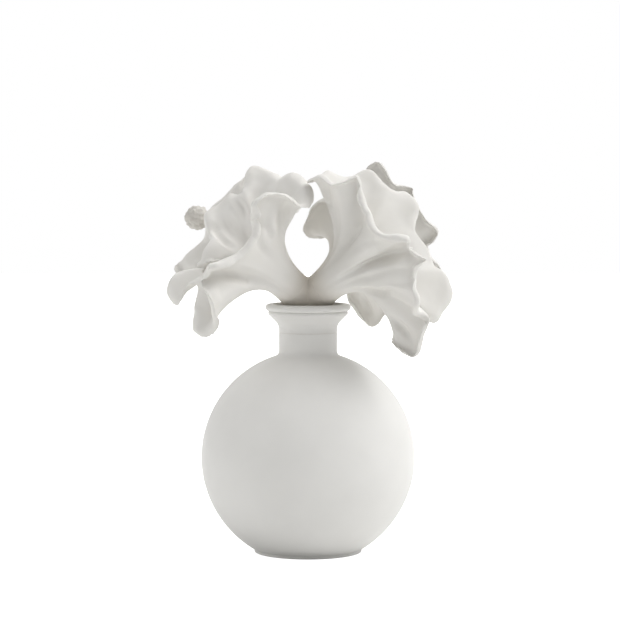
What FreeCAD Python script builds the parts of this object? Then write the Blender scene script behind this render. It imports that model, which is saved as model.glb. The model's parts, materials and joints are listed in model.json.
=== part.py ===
import FreeCAD, Part
import math
import os

import Sketcher

# A table-top fragrance diffuser: a glazed ball-shaped bottle, and a head of four ruffled
# trumpet blooms in unglazed porcelain that stands in the bottle's neck on a ribbed sleeve.
# Millimetres, +Z up, origin at the centre of the foot's underside; +Y is away from the front.

Vector = FreeCAD.Vector

doc = FreeCAD.newDocument("fragrance_diffuser")

# ---------------------------------------------------------------- driving dimensions
DRIVING = {
    # bottle
    "bottle_radius": 53.25,
    "bottle_wall": 3.2,
    "floor_thickness": 4.0,
    "foot_radius": 26.9,
    "foot_height": 1.5,
    "foot_ring_width": 3.6,
    "foot_recess": 0.8,
    "foot_edge_round": 0.5,
    "neck_radius": 14.6,
    "neck_length": 11.0,
    "neck_bore_radius": 11.5,
    "neck_shoulder_round": 2.4,
    "spigot_radius": 12.7,
    "spigot_height": 7.4,
    # collar and its seal
    "seal_thickness": 0.5,
    "seal_inset": 0.25,
    "collar_clearance": 0.08,
    "collar_height": 13.9,
    "collar_lip_radius": 21.3,
    "collar_bead_radius": 1.72,
    "collar_bead_inset": 0.18,
    "collar_ring_radius": 1.35,
    "collar_ring_height": 2.05,
    "collar_ring_step": 0.1,
    "collar_splay_angle": 45.0,
    "collar_cove_radius": 5.5,
    "collar_throat_radius": 13.9,
    "collar_throat_depth": 4.9,
    "collar_mouth_radius": 17.6,
    # stopper sleeve
    "sleeve_clearance": 0.08,
    "sleeve_length": 18.0,
    "sleeve_rib_depth": 0.7,
    "sleeve_rib_height": 2.0,
    "flange_radius": 12.3,
    "flange_thickness": 2.0,
    # flower stem
    "plug_radius": 7.5,
    "plug_clearance": 0.08,
    "plug_length": 24.0,
    "stem_base_radius": 11.4,
    "stem_radius": 12.4,
    "fork_height": 5.5,
    "arm_length": 15.0,
    "arm_radius": 8.5,
    "arm_swell": 1.3,
    "arm_swell_start": 7.0,
    "arm_angle": 34.0,
    "channel_radius": 3.2,
    "well_radius": 4.6,
    # blooms
    "bloom_span": 100.0,
    "bloom_lead_share": 0.55,
    "front_flare_power": 3.1,
    "back_flare_power": 2.7,
    "ruffle_power": 2.4,
    "lip_curl_share": 1.5,
    "even_share": 0.9,
    "throat_wall": 2.6,
    "lip_wall": 1.5,
    # pistils
    "pistil_radius": 1.6,
    "pistil_head_radius": 6.0,
    "pistil_peg_length": 6.0,
    "pistil_peg_clearance": 0.06,
    # wicks
    "wick_radius": 1.75,
    "wick_ring_radius": 2.75,
    "wick_floor_gap": 4.0,
}

sheet = doc.addObject("Spreadsheet::Sheet", "Sizes")
for line, (alias, number) in enumerate(DRIVING.items(), start=1):
    sheet.set(f"A{line}", alias)
    sheet.set(f"B{line}", str(number))
    sheet.setAlias(f"B{line}", alias)
doc.recompute()


class Size:
    """A length worked out from the sheet: its number now, and the expression that keeps it live."""

    def __init__(self, number, text):
        self.number = float(number)
        self.text = text

    def __add__(self, other):
        other = as_size(other)
        return Size(self.number + other.number, f"({self.text} + {other.text})")

    def __sub__(self, other):
        other = as_size(other)
        return Size(self.number - other.number, f"({self.text} - {other.text})")

    def __mul__(self, other):
        other = as_size(other)
        return Size(self.number * other.number, f"({self.text} * {other.text})")

    def __truediv__(self, other):
        other = as_size(other)
        return Size(self.number / other.number, f"({self.text} / {other.text})")


def as_size(value):
    return value if isinstance(value, Size) else Size(value, repr(float(value)))


def driving(alias):
    return Size(sheet.get(alias), f"Sizes.{alias}")


def driving_angle(degrees):
    return Size(degrees, repr(float(degrees)))


def leg(hypotenuse, other_leg):
    """The other leg of a right triangle, such as a ball's height over a given radius."""
    square = hypotenuse * hypotenuse - other_leg * other_leg
    return Size(math.sqrt(square.number), f"sqrt({square.text})")


def cosine(degrees):
    return Size(math.cos(math.radians(degrees.number)), f"cos({degrees.text} * 1 deg)")


def sine(degrees):
    return Size(math.sin(math.radians(degrees.number)), f"sin({degrees.text} * 1 deg)")


ZERO = as_size(0)

# ---------------------------------------------------------------- heights up the axis
ball_centre = driving("foot_height") + leg(driving("bottle_radius"), driving("foot_radius"))
shoulder_height = ball_centre + leg(driving("bottle_radius"), driving("neck_radius"))
neck_top = shoulder_height + driving("neck_length")
spigot_top = neck_top + driving("spigot_height")
collar_base = neck_top + driving("seal_thickness")
collar_top = collar_base + driving("collar_height")
seat_height = spigot_top + driving("flange_thickness")
floor_height = driving("foot_recess") + driving("floor_thickness")
fork_centre = seat_height + driving("fork_height")
arm_out = driving("arm_length") * cosine(driving("arm_angle"))
arm_up = driving("arm_length") * sine(driving("arm_angle"))


# ---------------------------------------------------------------- sketch and feature helpers
def new_body(label):
    body = doc.addObject("PartDesign::Body", label)
    body.Label = label
    return body


def sketch_on(body, name, role):
    """A sketch on one of the body's own origin planes."""
    plane = next(item for item in body.Origin.OriginFeatures if item.Role == role)
    sketch = body.newObject("Sketcher::SketchObject", name)
    sketch.AttachmentSupport = [(plane, "")]
    sketch.MapMode = "FlatFace"
    return sketch


def bind(sketch, index, size):
    sketch.setExpression(f"Constraints[{index}]", size.text)


def pin_point(sketch, geometry, end, across, up):
    """Holds one end of an edge at a place worked out from the sheet."""
    for kind, size, axis in (("DistanceX", across, -2), ("DistanceY", up, -1)):
        if size is ZERO:
            sketch.addConstraint(Sketcher.Constraint("PointOnObject", geometry, end, axis))
        else:
            index = sketch.addConstraint(
                Sketcher.Constraint(kind, -1, 1, geometry, end, size.number))
            bind(sketch, index, size)


def draw_outline(sketch, corners):
    """A closed outline. Each corner is (across, up), or (across, up, radius, side) where the edge
    that arrives there is an arc whose centre lies on that side: 1 left of the way, -1 right."""
    count = len(corners)
    for i, corner in enumerate(corners):
        before = corners[i - 1]
        start = Vector(before[0].number, before[1].number, 0)
        end = Vector(corner[0].number, corner[1].number, 0)
        if len(corner) == 2:
            sketch.addGeometry(Part.LineSegment(start, end))
            continue
        radius = corner[2].number
        chord = end - start
        rise = math.sqrt(max(radius ** 2 - (chord.Length / 2) ** 2, 0.0))
        left = Vector(-chord.y, chord.x, 0).normalize() * corner[3]
        centre = (start + end) * 0.5 + left * rise
        circle = Part.Circle(centre, Vector(0, 0, 1), radius)
        first, last = (start, end) if corner[3] > 0 else (end, start)
        angles = [math.atan2(p.y - centre.y, p.x - centre.x) for p in (first, last)]
        if angles[1] < angles[0]:
            angles[1] += 2 * math.pi
        sketch.addGeometry(Part.ArcOfCircle(circle, *angles))
    for i, corner in enumerate(corners):
        arrives_at = 2 if len(corner) == 2 or corner[3] > 0 else 1
        follower = corners[(i + 1) % count]
        leaves_from = 1 if len(follower) == 2 or follower[3] > 0 else 2
        sketch.addConstraint(
            Sketcher.Constraint("Coincident", i, arrives_at, (i + 1) % count, leaves_from))
        pin_point(sketch, i, arrives_at, corner[0], corner[1])
        if len(corner) > 2:
            index = sketch.addConstraint(Sketcher.Constraint("Radius", i, corner[2].number))
            bind(sketch, index, corner[2])


def revolve(body, name, corners):
    """A full turn about the vertical of an outline drawn in the XZ plane."""
    sketch = sketch_on(body, name + "_outline", "XZ_Plane")
    draw_outline(sketch, corners)
    feature = body.newObject("PartDesign::Revolution", name)
    feature.Profile = sketch
    feature.ReferenceAxis = (sketch, ["V_Axis"])
    feature.Angle = 360
    doc.recompute()
    return feature


def groove(body, name, corners):
    """The same full turn, cut away."""
    sketch = sketch_on(body, name + "_outline", "XZ_Plane")
    draw_outline(sketch, corners)
    feature = body.newObject("PartDesign::Groove", name)
    feature.Profile = sketch
    feature.ReferenceAxis = (sketch, ["V_Axis"])
    feature.Angle = 360
    doc.recompute()
    return feature


def round_rings(body, base, name, rings, size):
    """Fillets the circular edges that have the given radius and height."""
    names = []
    for number, edge in enumerate(base.Shape.Edges, start=1):
        curve = edge.Curve
        if not isinstance(curve, Part.Circle):
            continue
        for radius, height in rings:
            if abs(curve.Radius - radius.number) + abs(curve.Center.z - height.number) < 1e-3:
                names.append(f"Edge{number}")
    fillet = body.newObject("PartDesign::Fillet", name)
    fillet.Base = (base, names)
    fillet.setExpression("Radius", size.text)
    doc.recompute()
    return fillet


# ---------------------------------------------------------------- bottle, seal and collar
def make_bottle():
    outer = driving("bottle_radius")
    inner = outer - driving("bottle_wall")
    foot = driving("foot_radius")
    bore = driving("neck_bore_radius")
    foot_inside = foot - driving("foot_ring_width")
    floor_radius = leg(inner, ball_centre - floor_height)
    body = new_body("bottle")
    shell = revolve(body, "bottle_shell", [
        (foot_inside, ZERO),
        (foot, ZERO),
        (foot, driving("foot_height")),
        (driving("neck_radius"), shoulder_height, outer, 1),
        (driving("neck_radius"), neck_top),
        (driving("spigot_radius"), neck_top),
        (driving("spigot_radius"), spigot_top),
        (bore, spigot_top),
        (bore, ball_centre + leg(inner, bore)),
        (floor_radius, floor_height, inner, -1),
        (ZERO, floor_height),
        (ZERO, driving("foot_recess")),
        (foot_inside, driving("foot_recess")),
    ])
    shoulder = round_rings(body, shell, "neck_shoulder",
                           [(driving("neck_radius"), shoulder_height)],
                           driving("neck_shoulder_round"))
    round_rings(body, shoulder, "foot_edge", [(foot, ZERO)], driving("foot_edge_round"))
    return body


def make_collar_seal():
    inside = driving("spigot_radius") + driving("seal_inset")
    outside = driving("neck_radius") - driving("seal_inset")
    body = new_body("collar_seal")
    revolve(body, "seal_ring", [
        (inside, neck_top),
        (outside, neck_top),
        (outside, collar_base),
        (inside, collar_base),
    ])
    return body


def make_neck_collar():
    """A flared mouth ring: a cove that splays out to a low ring, and a round bead at the lip."""
    neck = driving("neck_radius")
    bore = driving("spigot_radius") + driving("collar_clearance")
    lip = driving("collar_lip_radius")
    bead = driving("collar_bead_radius")
    bead_centre = lip - bead
    quirk_radius = bead_centre - driving("collar_bead_inset")
    quirk_height = collar_top - bead - leg(bead, driving("collar_bead_inset"))
    splay = driving("collar_splay_angle")
    splay_radius = quirk_radius + driving("collar_ring_step")
    splay_height = quirk_height - driving("collar_ring_height")
    cove = driving("collar_cove_radius")
    cove_radius = neck + cove - cove * cosine(splay)
    cove_height = splay_height - (splay_radius - cove_radius) * cosine(splay) / sine(splay)
    throat_height = collar_top - driving("collar_throat_depth")
    body = new_body("neck_collar")
    revolve(body, "collar_profile", [
        (bore, collar_base),
        (neck, collar_base),
        (neck, cove_height - cove * sine(splay)),
        (cove_radius, cove_height, cove, -1),
        (splay_radius, splay_height),
        (quirk_radius, quirk_height, driving("collar_ring_radius"), 1),
        (lip, collar_top - bead, bead, 1),
        (bead_centre, collar_top, bead, 1),
        (driving("collar_mouth_radius"), collar_top),
        (driving("collar_throat_radius"), throat_height),
        (bore, throat_height),
    ])
    return body


# ---------------------------------------------------------------- stopper
def make_stopper_sleeve():
    """A soft sleeve with ribs that press lightly in the bore and a flange on the bottle's rim."""
    outside = driving("neck_bore_radius") - driving("sleeve_clearance")
    valley = outside - driving("sleeve_rib_depth")
    inside = driving("plug_radius") + driving("plug_clearance")
    rib = driving("sleeve_rib_height")
    bottom = spigot_top - driving("sleeve_length")
    rib_count = int(driving("sleeve_length").number / (2 * rib.number))
    corners = [(inside, bottom)]
    for i in range(rib_count):
        rib_foot = bottom + rib * (2 * i)
        if i > 0:
            corners.append((valley, rib_foot))
        corners += [(outside, rib_foot), (outside, rib_foot + rib), (valley, rib_foot + rib)]
    corners += [
        (valley, spigot_top),
        (driving("flange_radius"), spigot_top),
        (driving("flange_radius"), seat_height),
        (inside, seat_height),
    ]
    body = new_body("stopper_sleeve")
    revolve(body, "sleeve", corners)
    return body


# ---------------------------------------------------------------- flower stem
ARM_AZIMUTHS = (45.0, 135.0, 225.0, 315.0)


def revolve_about_arm(body, name, kind, azimuth, corners):
    """Turns an outline about one arm's axis: each corner is (along the arm, out from its axis)."""
    sketch = sketch_on(body, name + "_outline", "XZ_Plane")
    upright, facing = Vector(0, 1, 0), Vector(0, 0, 1)
    turn = FreeCAD.Rotation(upright, azimuth)
    lean = FreeCAD.Rotation(facing, sheet.get("arm_angle"))
    sketch.AttachmentOffset = FreeCAD.Placement(Vector(0, fork_centre.number, 0), turn * lean)
    sketch.setExpression("AttachmentOffset.Base.y", fork_centre.text)
    draw_outline(sketch, corners)
    feature = body.newObject(kind, name)
    feature.Profile = sketch
    feature.ReferenceAxis = (sketch, ["H_Axis"])
    feature.Angle = 360
    doc.recompute()
    return feature


def make_flower_stem():
    """Plug, shoulder and domed fork with four arms; a well below and a channel up each arm."""
    radius = driving("stem_radius")
    reach = driving("arm_length")
    arm = driving("arm_radius")
    swell = driving("arm_swell")
    start = driving("arm_swell_start")
    run = reach - start
    swell_radius = (run * run + swell * swell) / (swell * 2)
    body = new_body("flower_stem")
    revolve(body, "stem_core", [
        (ZERO, seat_height - driving("plug_length")),
        (driving("plug_radius"), seat_height - driving("plug_length")),
        (driving("plug_radius"), seat_height),
        (driving("stem_base_radius"), seat_height),
        (radius, fork_centre),
        (ZERO, fork_centre + radius, radius, 1),
    ])
    for number, azimuth in enumerate(ARM_AZIMUTHS, start=1):
        revolve_about_arm(body, f"arm_{number}", "PartDesign::Revolution", azimuth, [
            (start, ZERO),
            (start, arm + swell),
            (reach, arm, swell_radius, 1),
            (reach, ZERO),
        ])
    well = driving("well_radius")
    groove(body, "wick_well", [
        (ZERO, seat_height - driving("plug_length")),
        (well, seat_height - driving("plug_length")),
        (well, fork_centre),
        (ZERO, fork_centre),
    ])
    for number, azimuth in enumerate(ARM_AZIMUTHS, start=1):
        revolve_about_arm(body, f"channel_{number}", "PartDesign::Groove", azimuth, [
            (ZERO, ZERO),
            (ZERO, driving("channel_radius")),
            (reach, driving("channel_radius")),
            (reach, ZERO),
        ])
    return body


# ---------------------------------------------------------------- blooms
# Each bloom is drawn from the end of its arm, in hundredths of the bloom span: +X right,
# +Y back, +Z up. The rim is the lip's edge, point by point round the mouth; a fourth number
# is how far the skin stands up behind that point before it rolls over to the edge.
BLOOMS = {
    "front_left": {
        "azimuth": 225.0,
        "flare": "front_flare_power",
        "mouth": (-29, -15, 21),
        "pistil": (-11, -9, 9),
        "rim": [
            (-40, -45, 13, 3), (-42, -35, 6), (-40, -41, -3), (-37, -38, -14),
            (-41, -31, -21), (-47, -27, -15), (-46, -21, -6, 2), (-46, -19, 1, 3),
            (-52, -16, -2, 5), (-56, -12, -8, 5), (-61, -8, -1, 4), (-58, -4, 5, 3),
            (-48, -3, 6), (-44, -5, 16), (-40, 3, 26), (-43, 13, 34),
            (-37, 17, 40), (-30, 15, 46), (-23, 9, 46), (-21, 15, 56),
            (-16, 19, 60), (-8, 13, 57), (-4, 3, 53), (2, -1, 56),
            (9, -9, 50), (8, -19, 42), (1, -24, 46), (-9, -33, 47),
            (-19, -37, 42), (-17, -33, 32, 3), (-21, -37, 20, 5), (-31, -43, 14, 4),
        ],
    },
    "front_right": {
        "azimuth": 315.0,
        "flare": "front_flare_power",
        "mouth": (29, -13, 19),
        "pistil": (16, -10, 12),
        "rim": [
            (-8, -11, 54), (-1, -17, 56), (5, -23, 52), (13, -25, 56),
            (19, -23, 47, 4), (21, -33, 37, 5), (26, -39, 29, 5), (35, -41, 28, 4),
            (43, -39, 26, 3), (41, -27, 20), (49, -39, 15), (44, -35, 7),
            (47, -41, -2), (45, -37, -11), (52, -33, -15), (47, -31, -24),
            (44, -27, -32), (36, -21, -31), (36, -13, -22), (43, -5, -13),
            (55, -5, -17), (61, -1, -7), (62, 3, 3), (55, 7, 10),
            (52, 11, 20), (45, 11, 28), (47, 17, 39), (39, 17, 49),
            (30, 13, 50), (22, 17, 59), (10, 9, 55), (-1, -1, 57),
        ],
    },
    "back_left": {
        "azimuth": 135.0,
        "flare": "back_flare_power",
        "mouth": (-29, 21, 23),
        "pistil": (-48, 31, 33),
        "rim": [
            (-15, 3, 39), (-19, 9, 48), (-24, 11, 55), (-34, 17, 46),
            (-45, 17, 35), (-45, 21, 25), (-53, 23, 16), (-60, 23, 8),
            (-53, 27, 4), (-47, 37, 8), (-41, 45, 1), (-33, 53, 5),
            (-29, 57, 17), (-19, 51, 19), (-13, 53, 31), (-3, 45, 39),
            (-3, 35, 47), (5, 25, 45), (-3, 17, 37), (-9, 9, 49),
        ],
    },
    "back_right": {
        "azimuth": 45.0,
        "flare": "back_flare_power",
        "mouth": (29, 21, 21),
        "pistil": (48, 35, 26),
        "rim": [
            (7, 5, 43), (-1, 13, 45), (-9, 23, 33), (-5, 33, 25),
            (5, 39, 29), (7, 49, 17), (15, 47, 7), (12, 38, -7),
            (22, 35, -20), (31, 31, -17), (41, 37, -7), (51, 27, -9),
            (59, 19, -1), (59, 17, 11), (51, 19, 17), (57, 15, 27),
            (49, 13, 35), (43, 17, 47), (35, 11, 51), (27, 9, 61),
            (18, 11, 51),
        ],
    },
}
# The skin's rows, as shares of the way from the root to the rim, and where the curl is highest.
SKIN_STATIONS = (0.0, 0.1, 0.28, 0.5, 0.75, 0.92, 1.0)
CURL_PEAK = 0.8
SETTLING_PASSES = 60


def arm_axis(azimuth):
    lean = math.radians(sheet.get("arm_angle"))
    turn = math.radians(azimuth)
    return Vector(math.cos(lean) * math.cos(turn), math.cos(lean) * math.sin(turn), math.sin(lean))


def drawn(point):
    """A point of the tables above, in millimetres from the arm's end."""
    return Vector(*point[:3]) * (sheet.get("bloom_span") / 100)


def ring_control_points(points):
    """Control points of the closed cubic that passes through the given points, found by
    moving each one until the cubic settles on its point."""
    count = len(points)
    controls = [Vector(p) for p in points]
    for _ in range(SETTLING_PASSES):
        controls = [(points[i] * 6 - controls[i - 1] - controls[(i + 1) % count]) * 0.25
                    for i in range(count)]
    return controls


def root_directions(points, mouth, axis):
    """Where each strip of the skin leaves the round root: part by its own bearing about the
    arm's axis, and mostly by an even share of the circle, so that no two strips cross."""
    count = len(points)
    across = points[0] - mouth
    across = (across - axis * across.dot(axis)).normalize()
    up = axis.cross(across)
    bearings = [math.atan2((p - mouth).dot(up), (p - mouth).dot(across)) for p in points]
    for i in range(1, count):
        turns = round((bearings[i] - bearings[i - 1]) / (2 * math.pi))
        bearings[i] -= 2 * math.pi * turns
    way = 1 if bearings[-1] > bearings[0] else -1
    even = [way * 2 * math.pi * i / count for i in range(count)]
    share = sheet.get("even_share")
    mixed = [even[i] * share + (bearings[i] - bearings[0]) * (1 - share) for i in range(count)]
    shift = sum(bearings[i] - mixed[i] for i in range(count)) / count
    return [across * math.cos(a + shift) + up * math.sin(a + shift) for a in mixed]


def bloom_skin(bloom):
    """Rows of control points from the round root to the ruffled rim."""
    axis = arm_axis(bloom["azimuth"])
    rim = [drawn(point) for point in bloom["rim"]]
    mouth = drawn(bloom["mouth"])
    curls = [point[3] if len(point) > 3 else sheet.get("lip_curl_share") for point in bloom["rim"]]
    curls = [curl * sheet.get("bloom_span") / 100 for curl in curls]
    root = root_directions(rim, mouth, axis)
    controls = ring_control_points(rim)
    spread = sum((p - mouth).Length for p in rim) / len(rim)
    lead = axis * mouth.Length * sheet.get("bloom_lead_share")
    ahead = Vector(mouth).normalize()
    curl_scale = CURL_PEAK ** 4 * (1 - CURL_PEAK)
    rows = []
    for s in SKIN_STATIONS:
        centre = lead * (2 * s * (1 - s)) + mouth * s ** 2
        flare = s ** sheet.get(bloom["flare"])
        ruffle = s ** sheet.get("ruffle_power")
        rise = s ** 4 * (1 - s) / curl_scale
        row = []
        for i, control in enumerate(controls):
            reach = control - mouth
            even = Vector(reach).normalize() * spread
            point = centre + root[i] * (sheet.get("arm_radius") * (1 - flare))
            point += even * flare + (reach - even) * ruffle + ahead * (curls[i] * rise)
            row.append(point)
        rows.append(row)
    return rows, root


def inner_rows(rows, root):
    """The same skin moved inwards by the wall, which thins from the throat to the lip."""
    count = len(rows[0])
    inside = [[ray * sheet.get("channel_radius") for ray in root]]
    for j in range(1, len(rows)):
        s = SKIN_STATIONS[j]
        wall = sheet.get("throat_wall") * (1 - s) + sheet.get("lip_wall") * s
        normals = []
        for i in range(count):
            along = rows[min(j + 1, len(rows) - 1)][i] - rows[j - 1][i]
            round_about = rows[j][(i + 1) % count] - rows[j][i - 1]
            normals.append(along.cross(round_about).normalize())
        if j == 1:
            side = -math.copysign(1, normals[0].dot(root[0]))
        inside.append([rows[j][i] + normals[i] * (wall * side) for i in range(count)])
    return inside


def make_bloom(name, bloom):
    """One closed wall: out along the outer skin, over the rounded lip, back down inside."""
    outside, root = bloom_skin(bloom)
    inside = inner_rows(outside, root)
    count = len(root)
    lip = []
    for i in range(count):
        onward = (outside[-1][i] - outside[-2][i]).normalize()
        lip.append((outside[-1][i] + inside[-1][i]) * 0.5 + onward * (sheet.get("lip_wall") / 2))
    rows = outside + [lip] + inside[::-1]
    poles = [[row[i] for row in rows] for i in range(count)]
    spans = len(rows) - 3
    wall = Part.BSplineSurface()
    wall.buildFromPolesMultsKnots(
        poles, [1] * (count + 1), [4] + [1] * (spans - 1) + [4],
        [float(k) for k in range(count + 1)], [float(k) for k in range(spans + 1)],
        True, False, 3, 3)
    skin = wall.toShape()
    rings = [Part.Wire(edge) for edge in skin.Edges if edge.isClosed() and not edge.isSeam(skin)]
    rings.sort(key=lambda ring: -ring.Length)
    seat = Part.makeFace(rings[:2], "Part::FaceMakerBullseye")
    shell = Part.makeShell([skin, seat])
    shell.sewShape()
    solid = Part.makeSolid(shell)
    if solid.Volume < 0:
        solid.reverse()
    feature = doc.addObject("Part::Feature", "bloom_" + name)
    feature.Label = "bloom_" + name
    feature.Shape = solid
    place_at_arm_end(feature, bloom["azimuth"])
    return feature


def place_at_arm_end(feature, azimuth):
    """Moves a piece drawn from the arm's end to where that end is, and keeps it there."""
    turn = driving_angle(azimuth)
    feature.setExpression("Placement.Base.x", (arm_out * cosine(turn)).text)
    feature.setExpression("Placement.Base.y", (arm_out * sine(turn)).text)
    feature.setExpression("Placement.Base.z", (fork_centre + arm_up).text)


# ---------------------------------------------------------------- pistils
def make_pistil(name, bloom):
    """A peg in the arm's channel, a rod that bends up to its head, and a round head. It is drawn
    with the arm's axis along +X and the bend towards +Y, then turned into the bloom."""
    axis = arm_axis(bloom["azimuth"])
    head = drawn(bloom["pistil"])
    bend = 2 * axis.getAngle(head)
    bend_radius = head.Length / (2 * math.sin(bend / 2))
    label = "pistil_" + name

    peg = doc.addObject("Part::Cylinder", label + "_peg")
    peg.setExpression("Radius", (driving("channel_radius") - driving("pistil_peg_clearance")).text)
    peg.setExpression("Height", driving("pistil_peg_length").text)
    peg.Placement = FreeCAD.Placement(Vector(), FreeCAD.Rotation(Vector(0, 1, 0), -90))

    rod = doc.addObject("Part::Torus", label + "_rod")
    rod.Radius1 = bend_radius
    rod.setExpression("Radius2", driving("pistil_radius").text)
    rod.Angle3 = math.degrees(bend)
    rod.Placement = FreeCAD.Placement(
        Vector(0, bend_radius, 0), FreeCAD.Rotation(Vector(0, 0, 1), -90))

    knob = doc.addObject("Part::Sphere", label + "_head")
    knob.setExpression("Radius", driving("pistil_head_radius").text)
    knob.Placement.Base = Vector(
        bend_radius * math.sin(bend), bend_radius * (1 - math.cos(bend)), 0)

    pistil = doc.addObject("Part::MultiFuse", label)
    pistil.Label = label
    pistil.Shapes = [peg, rod, knob]
    towards = head - axis * head.dot(axis)
    pistil.Placement.Rotation = FreeCAD.Rotation(axis, towards, axis.cross(towards), "XYZ")
    place_at_arm_end(pistil, bloom["azimuth"])
    return pistil


# ---------------------------------------------------------------- wicks
WICK_COUNT = 4


def make_wick(number):
    """A straight fibre wick from near the bottle's floor to the top of the stem's well."""
    bottom = floor_height + driving("wick_floor_gap")
    turn = driving_angle(360.0 / WICK_COUNT * (number - 1))
    wick = doc.addObject("Part::Cylinder", f"wick_{number}")
    wick.Label = f"wick_{number}"
    wick.setExpression("Radius", driving("wick_radius").text)
    wick.setExpression("Height", (fork_centre - bottom).text)
    wick.setExpression("Placement.Base.x", (driving("wick_ring_radius") * cosine(turn)).text)
    wick.setExpression("Placement.Base.y", (driving("wick_ring_radius") * sine(turn)).text)
    wick.setExpression("Placement.Base.z", bottom.text)
    return wick


# ---------------------------------------------------------------- the whole diffuser
pieces = [make_bottle(), make_collar_seal(), make_neck_collar(), make_stopper_sleeve()]
pieces.append(make_flower_stem())
for name, bloom in BLOOMS.items():
    pieces.append(make_bloom(name, bloom))
    pieces.append(make_pistil(name, bloom))
for number in range(1, WICK_COUNT + 1):
    pieces.append(make_wick(number))
doc.recompute()

for item in doc.Objects:
    if "Invalid" in item.State or "Error" in item.State:
        raise RuntimeError(f"{item.Name} did not compute: {item.State}")
os.makedirs("parts", exist_ok=True)
for piece in pieces:
    if piece.Shape.isNull() or not piece.Shape.isValid() or piece.Shape.Volume <= 0:
        raise RuntimeError(f"{piece.Label} is not a sound solid")
    piece.Shape.exportStep(f"parts/{piece.Label}.step")
    print(f"{piece.Label}: {piece.Shape.Volume / 1000:.2f} cm3")
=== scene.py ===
import json
import math

import bmesh
import bpy
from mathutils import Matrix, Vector, kdtree, noise
from mathutils.bvhtree import BVHTree

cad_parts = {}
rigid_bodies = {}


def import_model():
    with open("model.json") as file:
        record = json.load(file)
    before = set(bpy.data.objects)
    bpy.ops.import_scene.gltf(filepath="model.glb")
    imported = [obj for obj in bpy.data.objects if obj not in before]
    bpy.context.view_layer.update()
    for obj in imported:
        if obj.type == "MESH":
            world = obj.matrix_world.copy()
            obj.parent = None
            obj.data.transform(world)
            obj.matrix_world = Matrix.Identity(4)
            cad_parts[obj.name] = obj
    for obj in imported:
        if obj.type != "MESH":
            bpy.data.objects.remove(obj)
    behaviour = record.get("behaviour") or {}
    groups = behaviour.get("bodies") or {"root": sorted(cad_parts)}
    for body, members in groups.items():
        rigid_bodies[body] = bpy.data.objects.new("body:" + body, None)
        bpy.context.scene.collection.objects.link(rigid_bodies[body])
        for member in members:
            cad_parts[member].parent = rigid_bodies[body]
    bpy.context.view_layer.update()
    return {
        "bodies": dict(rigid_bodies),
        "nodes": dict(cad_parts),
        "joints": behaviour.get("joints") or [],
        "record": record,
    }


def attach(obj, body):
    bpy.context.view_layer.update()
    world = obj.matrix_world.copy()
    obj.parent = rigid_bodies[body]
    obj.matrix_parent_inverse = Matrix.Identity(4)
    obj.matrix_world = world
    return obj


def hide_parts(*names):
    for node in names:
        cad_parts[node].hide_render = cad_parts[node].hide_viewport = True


# A fragrance diffuser: a glazed porcelain ball bottle, and a head of four ruffled trumpet
# blooms in bare bisque porcelain that stands in the bottle's neck. Metres, +Z up, front -Y.

MM = 0.001
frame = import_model()
nodes = frame["nodes"]


# ---------------------------------------------------------------- materials
def linear(hex_colour):
    """An sRGB hex colour as the linear RGBA that the shaders take."""
    channels = [int(hex_colour[i:i + 2], 16) / 255 for i in (1, 3, 5)]
    return [c / 12.92 if c <= 0.04045 else ((c + 0.055) / 1.055) ** 2.4 for c in channels] + [1.0]


def add(tree, kind, inputs=None, links=None, **settings):
    """Adds one node with its settings, socket values and incoming links."""
    node = tree.nodes.new(kind)
    for name, value in settings.items():
        setattr(node, name, value)
    for socket, value in (inputs or {}).items():
        node.inputs[socket].default_value = value
    for socket, source in (links or {}).items():
        tree.links.new(source, node.inputs[socket])
    return node


def new_material(name):
    material = bpy.data.materials.new(name)
    material.use_nodes = True
    material.node_tree.nodes.clear()
    return material, material.node_tree


def stops(ramp, *pairs):
    """Sets a colour ramp's stops from (place, hex) pairs."""
    elements = ramp.color_ramp.elements
    while len(elements) < len(pairs):
        elements.new(0.5)
    for element, (place, colour) in zip(elements, pairs):
        element.position = place
        element.color = linear(colour)


def glazed_porcelain():
    """Slip-cast porcelain under a clear fired glaze: a smooth gloss coat with a faint swell
    where the glaze pooled, over a warm white body."""
    material, tree = new_material("glazed_porcelain")
    place = add(tree, "ShaderNodeTexCoord").outputs["Object"]
    pools = add(tree, "ShaderNodeTexNoise", {"Scale": 1 / (24 * MM), "Detail": 2.0}, {"Vector": place})
    body = add(tree, "ShaderNodeValToRGB", links={"Fac": pools.outputs["Fac"]})
    stops(body, (0.35, "#E6E5E2"), (0.65, "#E9E8E5"))
    swell = add(tree, "ShaderNodeBump", {"Strength": 0.12, "Distance": 0.3 * MM},
                {"Height": pools.outputs["Fac"]})
    shader = add(tree, "ShaderNodeBsdfPrincipled",
                 {"Roughness": 0.6, "Specular IOR Level": 0.0, "Coat Weight": 0.18,
                  "Coat Roughness": 0.12, "Coat IOR": 1.5},
                 {"Base Color": body.outputs["Color"], "Normal": swell.outputs["Normal"]})
    add(tree, "ShaderNodeOutputMaterial", links={"Surface": shader.outputs["BSDF"]})
    return material


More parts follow.
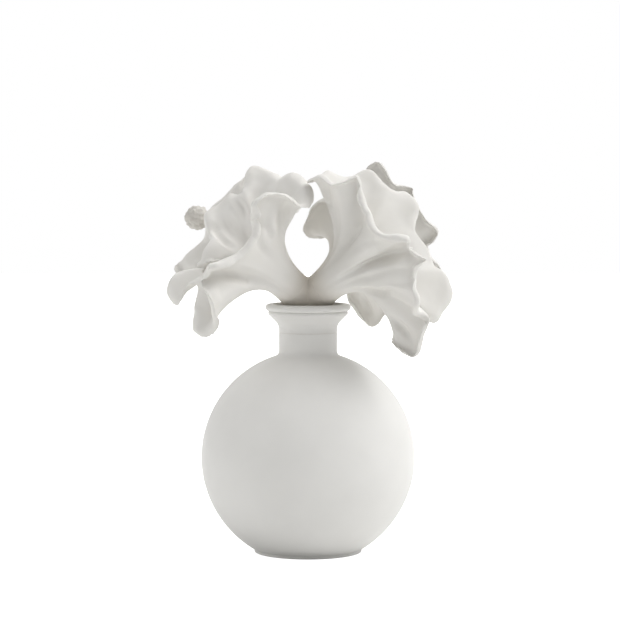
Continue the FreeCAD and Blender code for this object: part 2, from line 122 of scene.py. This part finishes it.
def bisque(name, grit, depth, light, dark, painted_shade_colour):
    """Unglazed fired porcelain: dead matte, faintly chalky, with a grain of the given grit.
    It is painted a little darker and warmer round the stem, where the arms meet: painted shade."""
    material, tree = new_material(name)
    place = add(tree, "ShaderNodeTexCoord").outputs["Object"]
    grain = add(tree, "ShaderNodeTexNoise", {"Scale": 1 / grit, "Detail": 3.0}, {"Vector": place})
    clouds = add(tree, "ShaderNodeTexNoise", {"Scale": 1 / (14 * MM), "Detail": 2.0},
                 {"Vector": place})
    body = add(tree, "ShaderNodeValToRGB", links={"Fac": clouds.outputs["Fac"]})
    stops(body, (0.3, dark), (0.7, light))
    # painted shade: the body colour is darkened and warmed within 30 mm of the point where the arms
    # meet
    away = add(tree, "ShaderNodeVectorMath", {1: (0, 0, 126 * MM)}, {0: place},
               operation="DISTANCE")
    painted_shade = add(tree, "ShaderNodeMapRange",
               {"From Min": 8 * MM, "From Max": 30 * MM, "To Min": 1.0, "To Max": 0.0},
               {"Value": away.outputs["Value"]}, interpolation_type="SMOOTHSTEP")
    shaded_body = add(tree, "ShaderNodeMix", {7: linear(painted_shade_colour)},
               {0: painted_shade.outputs["Result"], 6: body.outputs["Color"]},
               data_type="RGBA", blend_type="MULTIPLY")
    bump = add(tree, "ShaderNodeBump", {"Strength": 0.25, "Distance": depth},
               {"Height": grain.outputs["Fac"]})
    shader = add(tree, "ShaderNodeBsdfPrincipled",
                 {"Roughness": 0.85, "IOR": 1.5, "Specular IOR Level": 0.25},
                 {"Base Color": shaded_body.outputs[2], "Normal": bump.outputs["Normal"]})
    add(tree, "ShaderNodeOutputMaterial", links={"Surface": shader.outputs["BSDF"]})
    return material


def soft_rubber(name, colour):
    """Moulded silicone: satin, slightly milky."""
    material, tree = new_material(name)
    place = add(tree, "ShaderNodeTexCoord").outputs["Object"]
    grain = add(tree, "ShaderNodeTexNoise", {"Scale": 1 / (0.8 * MM)}, {"Vector": place})
    body = add(tree, "ShaderNodeValToRGB", links={"Fac": grain.outputs["Fac"]})
    stops(body, (0.3, colour[0]), (0.7, colour[1]))
    bump = add(tree, "ShaderNodeBump", {"Strength": 0.15, "Distance": 0.05 * MM},
               {"Height": grain.outputs["Fac"]})
    shader = add(tree, "ShaderNodeBsdfPrincipled", {"Roughness": 0.5, "IOR": 1.41},
                 {"Base Color": body.outputs["Color"], "Normal": bump.outputs["Normal"]})
    add(tree, "ShaderNodeOutputMaterial", links={"Surface": shader.outputs["BSDF"]})
    return material


def wick_fibre():
    """Bonded polyester fibre: fine threads that run along the wick."""
    material, tree = new_material("wick_fibre")
    place = add(tree, "ShaderNodeTexCoord").outputs["Object"]
    along = add(tree, "ShaderNodeMapping", {"Scale": (1.0, 1.0, 0.04)}, {"Vector": place})
    threads = add(tree, "ShaderNodeTexNoise", {"Scale": 1 / (0.35 * MM), "Detail": 4.0},
                  {"Vector": along.outputs["Vector"]})
    body = add(tree, "ShaderNodeValToRGB", links={"Fac": threads.outputs["Fac"]})
    stops(body, (0.3, "#D6CFBF"), (0.7, "#EEE9DD"))
    bump = add(tree, "ShaderNodeBump", {"Strength": 0.5, "Distance": 0.1 * MM},
               {"Height": threads.outputs["Fac"]})
    shader = add(tree, "ShaderNodeBsdfPrincipled", {"Roughness": 0.9, "Sheen Weight": 0.3},
                 {"Base Color": body.outputs["Color"], "Normal": bump.outputs["Normal"]})
    add(tree, "ShaderNodeOutputMaterial", links={"Surface": shader.outputs["BSDF"]})
    return material


glaze = glazed_porcelain()
# the last colour of each bisque is the painted shade round the stem
petal_bisque = bisque("bisque_porcelain", 0.45 * MM, 0.03 * MM, "#EAE8E4", "#E7E5E0",
                      "#E3DDD5")
# painted shade: the pistils' bisque is a darker grey than the petals', for the shade that falls on
# their heads
rough_bisque = bisque("rough_bisque", 0.5 * MM, 0.12 * MM, "#DCD9D3", "#CBC7C0", "#F4F0EA")
silicone = soft_rubber("silicone", ("#DEDDD8", "#E6E5E1"))
seal_rubber = soft_rubber("seal_rubber", ("#DCDAD5", "#E2E0DC"))
fibre = wick_fibre()


def dress(node, material):
    mesh = nodes[node].data
    mesh.materials.clear()
    mesh.materials.append(material)


for node in ("bottle", "neck_collar"):
    dress(node, glaze)
dress("collar_seal", seal_rubber)
dress("stopper_sleeve", silicone)
for number in range(1, 5):
    dress(f"wick_{number}", fibre)


# ---------------------------------------------------------------- sculpted flower head
LIP_DEPTH = 4.0 * MM           # how far in from the edge the lip starts to roll
LIP_STRETCH = 1.5              # how much longer the rolled lip is than the plain one
LIP_TURN = math.radians(210)   # how far round a fully rolled edge turns
ROOT_TUCK = 2.0 * MM           # how far a bloom's root is pushed into its arm
ARM_END = 12.4 * MM
ARM_HEIGHT = 137 * MM
ARM_ANGLE = math.radians(34)
EYE = Vector((0.000995, -1.239, 0.196))
AZIMUTHS = {"front_left": 225, "front_right": 315, "back_left": 135, "back_right": 45}


def even_copy(node, cell):
    """A copy of a CAD mesh, rebuilt as one even skin of quads so that it can be sculpted."""
    shape = bmesh.new()
    shape.from_mesh(nodes[node].data)
    bmesh.ops.remove_doubles(shape, verts=shape.verts, dist=0.005 * MM)
    mesh = bpy.data.meshes.new(node + "_seamless")
    shape.to_mesh(mesh)
    shape.free()
    block = bpy.data.objects.new(node + "_seamless", mesh)
    bpy.context.scene.collection.objects.link(block)
    remesh = block.modifiers.new("even", "REMESH")
    remesh.mode = "VOXEL"
    remesh.voxel_size = cell
    graph = bpy.context.evaluated_depsgraph_get()
    even = bpy.data.meshes.new_from_object(block.evaluated_get(graph))
    bpy.data.objects.remove(block)
    bpy.data.meshes.remove(mesh)
    points = [tuple(round(number, 7) for number in vert.co) for vert in even.vertices]
    order = sorted(range(len(points)), key=points.__getitem__)
    rank = {old: new for new, old in enumerate(order)}
    faces = []
    for face in even.polygons:
        loop = [rank[i] for i in face.vertices]
        first = loop.index(min(loop))
        faces.append(loop[first:] + loop[:first])
    # a remesh lists its points in another order each run, so they are put in one order here
    mesh = bpy.data.meshes.new(node + "_even")
    mesh.from_pydata([points[i] for i in order], [], sorted(faces))
    shape = bmesh.new()
    shape.from_mesh(mesh)
    bpy.data.meshes.remove(mesh)
    bpy.data.meshes.remove(even)
    soften(shape, shape.verts, 1)
    return shape


def soften(shape, verts, times):
    for _ in range(times):
        bmesh.ops.smooth_vert(shape, verts=verts, factor=0.5,
                              use_axis_x=True, use_axis_y=True, use_axis_z=True)
    shape.normal_update()


def stand_in(node, shape, material):
    """Puts the sculpted skin in the CAD node's place on the flower head."""
    mesh = bpy.data.meshes.new(node + "_sculpted")
    shape.to_mesh(mesh)
    shape.free()
    mesh.materials.append(material)
    mesh.shade_smooth()
    piece = bpy.data.objects.new(node + "_sculpted", mesh)
    bpy.context.scene.collection.objects.link(piece)
    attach(piece, "flower")
    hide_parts(node)
    return piece


def find_tree(points):
    tree = kdtree.KDTree(len(points))
    for i, point in enumerate(points):
        tree.insert(point, i)
    tree.balance()
    return tree


def lip_frames(shape, root, axis):
    """Points along a thin wall's edge, each with the way out of the wall and the way towards
    its outer skin. The edge is where the wall is deep behind the surface."""
    skin = BVHTree.FromBMesh(shape)
    edge = []
    for vert in shape.verts:
        if (vert.co - root).length < 36 * MM:
            continue
        _, facing, _, depth = skin.ray_cast(vert.co - vert.normal * 0.1 * MM, -vert.normal)
        if depth is None or depth > 2.4 * MM or facing.dot(vert.normal) > -0.3:
            edge.append((vert.co.copy(), vert.normal.copy()))
    tree = find_tree([point for point, _ in edge])
    middles, ways_out, taken = [], [], set()
    for i, (point, _) in enumerate(edge):
        if i not in taken:
            near = tree.find_range(point, 1.2 * MM)
            taken.update(j for _, j, distance in near if distance < 0.6 * MM)
            middles.append(sum((edge[j][0] for _, j, _ in near), Vector()) / len(near))
            ways_out.append(sum((edge[j][1] for _, j, _ in near), Vector()).normalized())
    tree = find_tree(middles)
    along = [None] * len(middles)
    sides = [None] * len(middles)
    for start in range(len(middles)):
        if along[start] is not None:
            continue
        along[start] = ways_out[start].orthogonal()
        queue, run = [start], []
        while queue:
            i = queue.pop()
            run.append(i)
            near = [j for _, j, _ in tree.find_range(middles[i], 3.0 * MM) if j != i]
            way = Vector()
            for j in near:
                step = middles[j] - middles[i]
                way += step * (1 if step.dot(along[i]) > 0 else -1)
            way -= ways_out[i] * way.dot(ways_out[i])
            if way.length > 0:
                along[i] = way.normalized()
            for j in near:
                if along[j] is None:
                    along[j] = along[i].copy()
                    queue.append(j)
        votes = 0
        for i in run:
            sides[i] = ways_out[i].cross(along[i])
            spoke = middles[i] - root
            spoke = (spoke - axis * spoke.dot(axis)).normalized()
            votes += 1 if sides[i].dot(spoke - axis) > 0 else -1
        if votes < 0:
            for i in run:
                sides[i] = -sides[i]
    return middles, ways_out, sides, tree


def roll_lip(shape, frames):
    """Rolls the edge of the wall over towards its outer skin, more in some places than others."""
    middles, ways_out, sides, tree = frames
    lip = []
    for vert in shape.verts:
        near = tree.find_n(vert.co, 10)
        if near[0][2] > LIP_DEPTH * 1.25:
            continue
        weights = [1 / (distance + 0.8 * MM) ** 2 for _, _, distance in near]
        total = sum(weights)
        edge, out, side = (
            sum((frame[j] * w for (_, j, _), w in zip(near, weights)), Vector()) / total
            for frame in (middles, ways_out, sides))
        calm = max(0.0, (out.length * side.length - 0.64) / 0.36)
        for slot in TIGHT_SLOTS:
            away = (edge - Vector(slot) * MM).length
            calm *= max(0.0, min(1.0, away / (8 * MM) - 1.5))
        out.normalize()
        side = (side - out * side.dot(out)).normalized()
        offset = vert.co - edge
        start = LIP_DEPTH + offset.dot(out)
        if start <= 0:
            continue
        lip.append(vert)
        thick = offset.dot(side)
        rest = offset - out * offset.dot(out) - side * thick
        mark = max(1.5 - math.hypot(edge.x - x * MM, edge.z - z * MM) / (14 * MM)
                   for x, z in FULL_ROLLS)
        gather = max(0.62 + 0.6 * noise.noise(edge / (17 * MM)), mark)
        turn = LIP_TURN * max(0.3, min(1.0, gather)) * calm
        stretch = 1 + (LIP_STRETCH - 1) * calm
        steps = 6
        bent = edge - out * LIP_DEPTH
        for k in range(steps):
            angle = turn * ((k + 0.5) / steps * start / LIP_DEPTH) ** 1.2
            bent += (out * math.cos(angle) + side * math.sin(angle)) * (start / steps * stretch)
        angle = turn * (start / LIP_DEPTH) ** 1.2
        vert.co = bent + (side * math.cos(angle) - out * math.sin(angle)) * thick + rest
    soften(shape, lip, 3)


def ripple(shape, frames, size, height, reach):
    """Uneven handwork: the wall sways a little, most at the edge."""
    tree = frames[-1]
    for vert in shape.verts:
        distance = tree.find(vert.co)[2]
        share = max(0.0, 1 - distance / reach)
        if share > 0:
            vert.co += noise.noise_vector(vert.co / size) * (height * share)
    shape.normal_update()


def fold(shape, *strokes):
    """Presses or lifts the wall along lines drawn as seen from the front, in millimetres
    right and up. Each stroke has its depth, its width and then its points."""
    skin = BVHTree.FromBMesh(shape)
    tree = find_tree([vert.co for vert in shape.verts])
    moves = {}
    for depth, width, *points in strokes:
        hits, push = [], Vector()
        for (x0, z0), (x1, z1) in zip(points, points[1:]):
            count = max(1, round(math.hypot(x1 - x0, z1 - z0)))
            for k in range(count + 1):
                share = k / count
                mark = Vector((x0 + (x1 - x0) * share, 0, z0 + (z1 - z0) * share)) * MM
                place, facing, _, _ = skin.ray_cast(EYE, (mark - EYE).normalized())
                if place is not None:
                    hits.append(place)
                    push += facing
        if not hits:
            continue
        push.normalize()
        closest = {}
        for i, place in enumerate(hits):
            ends = min(1.0, 3 * min(i + 1, len(hits) - i) / len(hits))
            for _, j, distance in tree.find_range(place, width * MM):
                share = (1 - (distance / (width * MM)) ** 2) ** 2 * ends
                closest[j] = max(closest.get(j, 0), share)
        for j, share in closest.items():
            moves[j] = moves.get(j, Vector()) - push * (depth * MM * share)
    shape.verts.ensure_lookup_table()
    for j, move in moves.items():
        shape.verts[j].co += move
    soften(shape, [shape.verts[j] for j in moves], 1)


# Where the lips are rolled right over, and the folds, both as seen from the front.
TIGHT_SLOTS = ((-57, -28, 135),)   # two lobes stand too close here for their lips to roll
FULL_ROLLS = ((-30, 165), (-33, 154), (-43, 148), (31, 172), (36, 163), (47, 161),
              (57, 148), (54, 125))
FOLDS = {
    "front_left": [
        (2.4, 4.5, (-49, 141), (-40, 138.5), (-30, 136), (-22, 133.5)),
        (-1.8, 5.5, (-50, 147), (-42, 144), (-32, 141)),
        (-1.6, 5.0, (-49, 135), (-46, 126), (-52, 116)),
        (2.4, 4.0, (-11, 175), (-12.5, 167), (-12, 157)),
        (-1.6, 4.0, (-17, 172), (-18, 164), (-17, 156)),
        (-1.8, 4.5, (-26, 163), (-22, 155), (-17, 150)),
        (2.4, 3.5, (-48, 163), (-42, 156), (-37, 152)),
        (1.8, 3.5, (-38, 178), (-33, 172), (-30, 163)),
        (-1.2, 4.0, (-41, 169), (-36, 163), (-34, 158)),
    ],
    "front_right": [
        (2.3, 3.8, (23, 139), (29, 144), (36, 147.5), (46, 151)),
        (-1.4, 4.5, (22, 146), (30, 151), (40, 154)),
        (1.8, 4.0, (29, 172), (25, 161), (18, 152)),
        (2.4, 4.2, (21, 130.5), (31, 131), (42, 129), (52, 126.5)),
        (-1.6, 4.5, (33, 137), (43, 138), (53, 138)),
        (2.0, 3.5, (40, 118), (47, 112.5), (52, 105.5)),
        (1.6, 3.5, (9, 184), (10, 174), (9, 164)),
    ],
    "back_left": [
        (2.4, 5.0, (-68, 147), (-63, 141)),
        (2.2, 4.5, (-37, 187), (-31, 188), (-31, 183)),
        (1.8, 4.0, (-21, 190), (-23, 182)),
    ],
    "back_right": [
        (1.8, 4.0, (45, 186), (43, 176), (39, 168)),
        (1.8, 4.0, (66, 136), (60, 141), (55, 145)),
        (1.6, 4.0, (28, 126), (31, 119)),
    ],
}


def sculpt_bloom(corner):
    turn = math.radians(AZIMUTHS[corner])
    root = Vector((math.cos(turn) * ARM_END, math.sin(turn) * ARM_END, ARM_HEIGHT))
    axis = Vector((math.cos(turn) * math.cos(ARM_ANGLE), math.sin(turn) * math.cos(ARM_ANGLE),
                   math.sin(ARM_ANGLE)))
    shape = even_copy("bloom_" + corner, 0.52 * MM)
    frames = lip_frames(shape, root, axis)
    for vert in shape.verts:
        ahead = (vert.co - root).dot(axis)
        if ahead < ROOT_TUCK and (vert.co - root).length < 12 * MM:
            vert.co -= axis * (ROOT_TUCK - ahead)
    roll_lip(shape, frames)
    ripple(shape, frames, 12 * MM, 2.0 * MM, 24 * MM)
    ripple(shape, frames, 5 * MM, 0.5 * MM, 12 * MM)
    fold(shape, *FOLDS[corner])
    stand_in("bloom_" + corner, shape, petal_bisque)
    return root


def sculpt_pistil(corner, root):
    """A rod with a rough, knobbly head, like a pinch of slip crumbs."""
    shape = even_copy("pistil_" + corner, 0.35 * MM)
    far = max((vert.co - root).length for vert in shape.verts)
    head = [vert for vert in shape.verts if (vert.co - root).length > far - 12 * MM]
    for vert in head:
        near = noise.voronoi(vert.co / (2.4 * MM))[0][0]
        fine = noise.noise(vert.co / (0.9 * MM))
        vert.co += vert.normal * (0.9 - 1.5 * near + 0.25 * fine) * MM
    shape.normal_update()
    stand_in("pistil_" + corner, shape, rough_bisque)


def sculpt_stem():
    """The cluster of arms, with soft hollows between them."""
    shape = even_copy("flower_stem", 0.5 * MM)
    hollow = [vert for vert in shape.verts
              if vert.co.z > 126 * MM and math.hypot(vert.co.x, vert.co.y) < 9.5 * MM]
    soften(shape, hollow, 14)
    stand_in("flower_stem", shape, petal_bisque)


for corner in AZIMUTHS:
    sculpt_pistil(corner, sculpt_bloom(corner))
sculpt_stem()


# ---------------------------------------------------------------- studio
def studio_surface(name, glow, share):
    """White paper that shows the object's shadow but stays white to the camera."""
    material, tree = new_material(name)
    ray = add(tree, "ShaderNodeLightPath")
    seen = add(tree, "ShaderNodeMath", operation="MAXIMUM",
               links={0: ray.outputs["Is Camera Ray"], 1: ray.outputs["Is Glossy Ray"]})
    seen = add(tree, "ShaderNodeMath", operation="MAXIMUM",
               links={0: seen.outputs[0], 1: ray.outputs["Is Transmission Ray"]})
    paper = add(tree, "ShaderNodeBsdfDiffuse", {"Color": linear("#F4F4F3")})
    shine = add(tree, "ShaderNodeEmission", {"Color": (1, 1, 1, 1), "Strength": glow})
    both = add(tree, "ShaderNodeAddShader", links={0: paper.outputs[0], 1: shine.outputs[0]})
    mix = add(tree, "ShaderNodeMixShader",
              links={0: seen.outputs[0], 1: paper.outputs[0], 2: both.outputs[0]})
    add(tree, "ShaderNodeOutputMaterial", links={"Surface": mix.outputs[0]})
    return material


def stage_sheet(name, corners, material):
    shape = bmesh.new()
    shape.faces.new([shape.verts.new(corner) for corner in corners])
    mesh = bpy.data.meshes.new(name)
    shape.to_mesh(mesh)
    shape.free()
    mesh.materials.append(material)
    sheet = bpy.data.objects.new(name, mesh)
    bpy.context.scene.collection.objects.link(sheet)
    return sheet


paper = studio_surface("studio_paper", 0.9, 1.0)
stage_sheet("floor", [(-3, -2, 0), (3, -2, 0), (3, 3, 0), (-3, 3, 0)], paper)


world = bpy.data.worlds.new("studio_tent")
bpy.context.scene.world = world
world.use_nodes = True
tree = world.node_tree
tree.nodes.clear()
way = add(tree, "ShaderNodeTexCoord").outputs["Generated"]
# The tent's soft panels: azimuth and height in degrees, how narrow each is, and its strength.
PANELS = (
    (342, 47, 12, 5.0),
    (60, 50, 5, 1.8),
    (186, 26, 8, 1.8),
    (235, 8, 4, 0.25),
    (120, 10, 4, 0.4),
)
total = None
for azimuth, height, narrow, strength in PANELS:
    turn, rise = math.radians(azimuth), math.radians(height)
    aim = (math.cos(rise) * math.cos(turn), math.cos(rise) * math.sin(turn), math.sin(rise))
    facing = add(tree, "ShaderNodeVectorMath", {1: aim}, {0: way}, operation="DOT_PRODUCT")
    front = add(tree, "ShaderNodeMath", {1: 0.0}, {0: facing.outputs["Value"]},
                operation="MAXIMUM")
    falloff = add(tree, "ShaderNodeMath", {1: narrow}, {0: front.outputs[0]}, operation="POWER")
    panel = add(tree, "ShaderNodeMath", {1: strength}, {0: falloff.outputs[0]},
                operation="MULTIPLY")
    if total is None:
        total = panel
    else:
        total = add(tree, "ShaderNodeMath", links={0: total.outputs[0], 1: panel.outputs[0]},
                    operation="ADD")
tent = add(tree, "ShaderNodeBackground", {"Color": (1, 1, 1, 1)}, {"Strength": total.outputs[0]})
white = add(tree, "ShaderNodeBackground", {"Color": (1, 1, 1, 1), "Strength": 1.0})
ray = add(tree, "ShaderNodeLightPath")
seen = add(tree, "ShaderNodeMath", operation="MAXIMUM",
           links={0: ray.outputs["Is Camera Ray"], 1: ray.outputs["Is Glossy Ray"]})
seen = add(tree, "ShaderNodeMath", operation="MAXIMUM",
           links={0: seen.outputs[0], 1: ray.outputs["Is Transmission Ray"]})
mix = add(tree, "ShaderNodeMixShader",
          links={0: seen.outputs[0], 1: tent.outputs[0], 2: white.outputs[0]})
add(tree, "ShaderNodeOutputWorld", links={"Surface": mix.outputs[0]})

# ---------------------------------------------------------------- camera
camera_data = bpy.data.cameras.new("camera")
camera_data.lens = 144.8
camera_data.sensor_width = 36.0
camera = bpy.data.objects.new("camera", camera_data)
camera.location = (0.000995, -1.239, 0.196)
aim = Vector((0.000995, 0, 0.12094)) - camera.location
camera.rotation_euler = aim.to_track_quat("-Z", "Y").to_euler()
bpy.context.scene.collection.objects.link(camera)
bpy.context.scene.camera = camera
bpy.context.scene.view_settings.view_transform = "Standard"
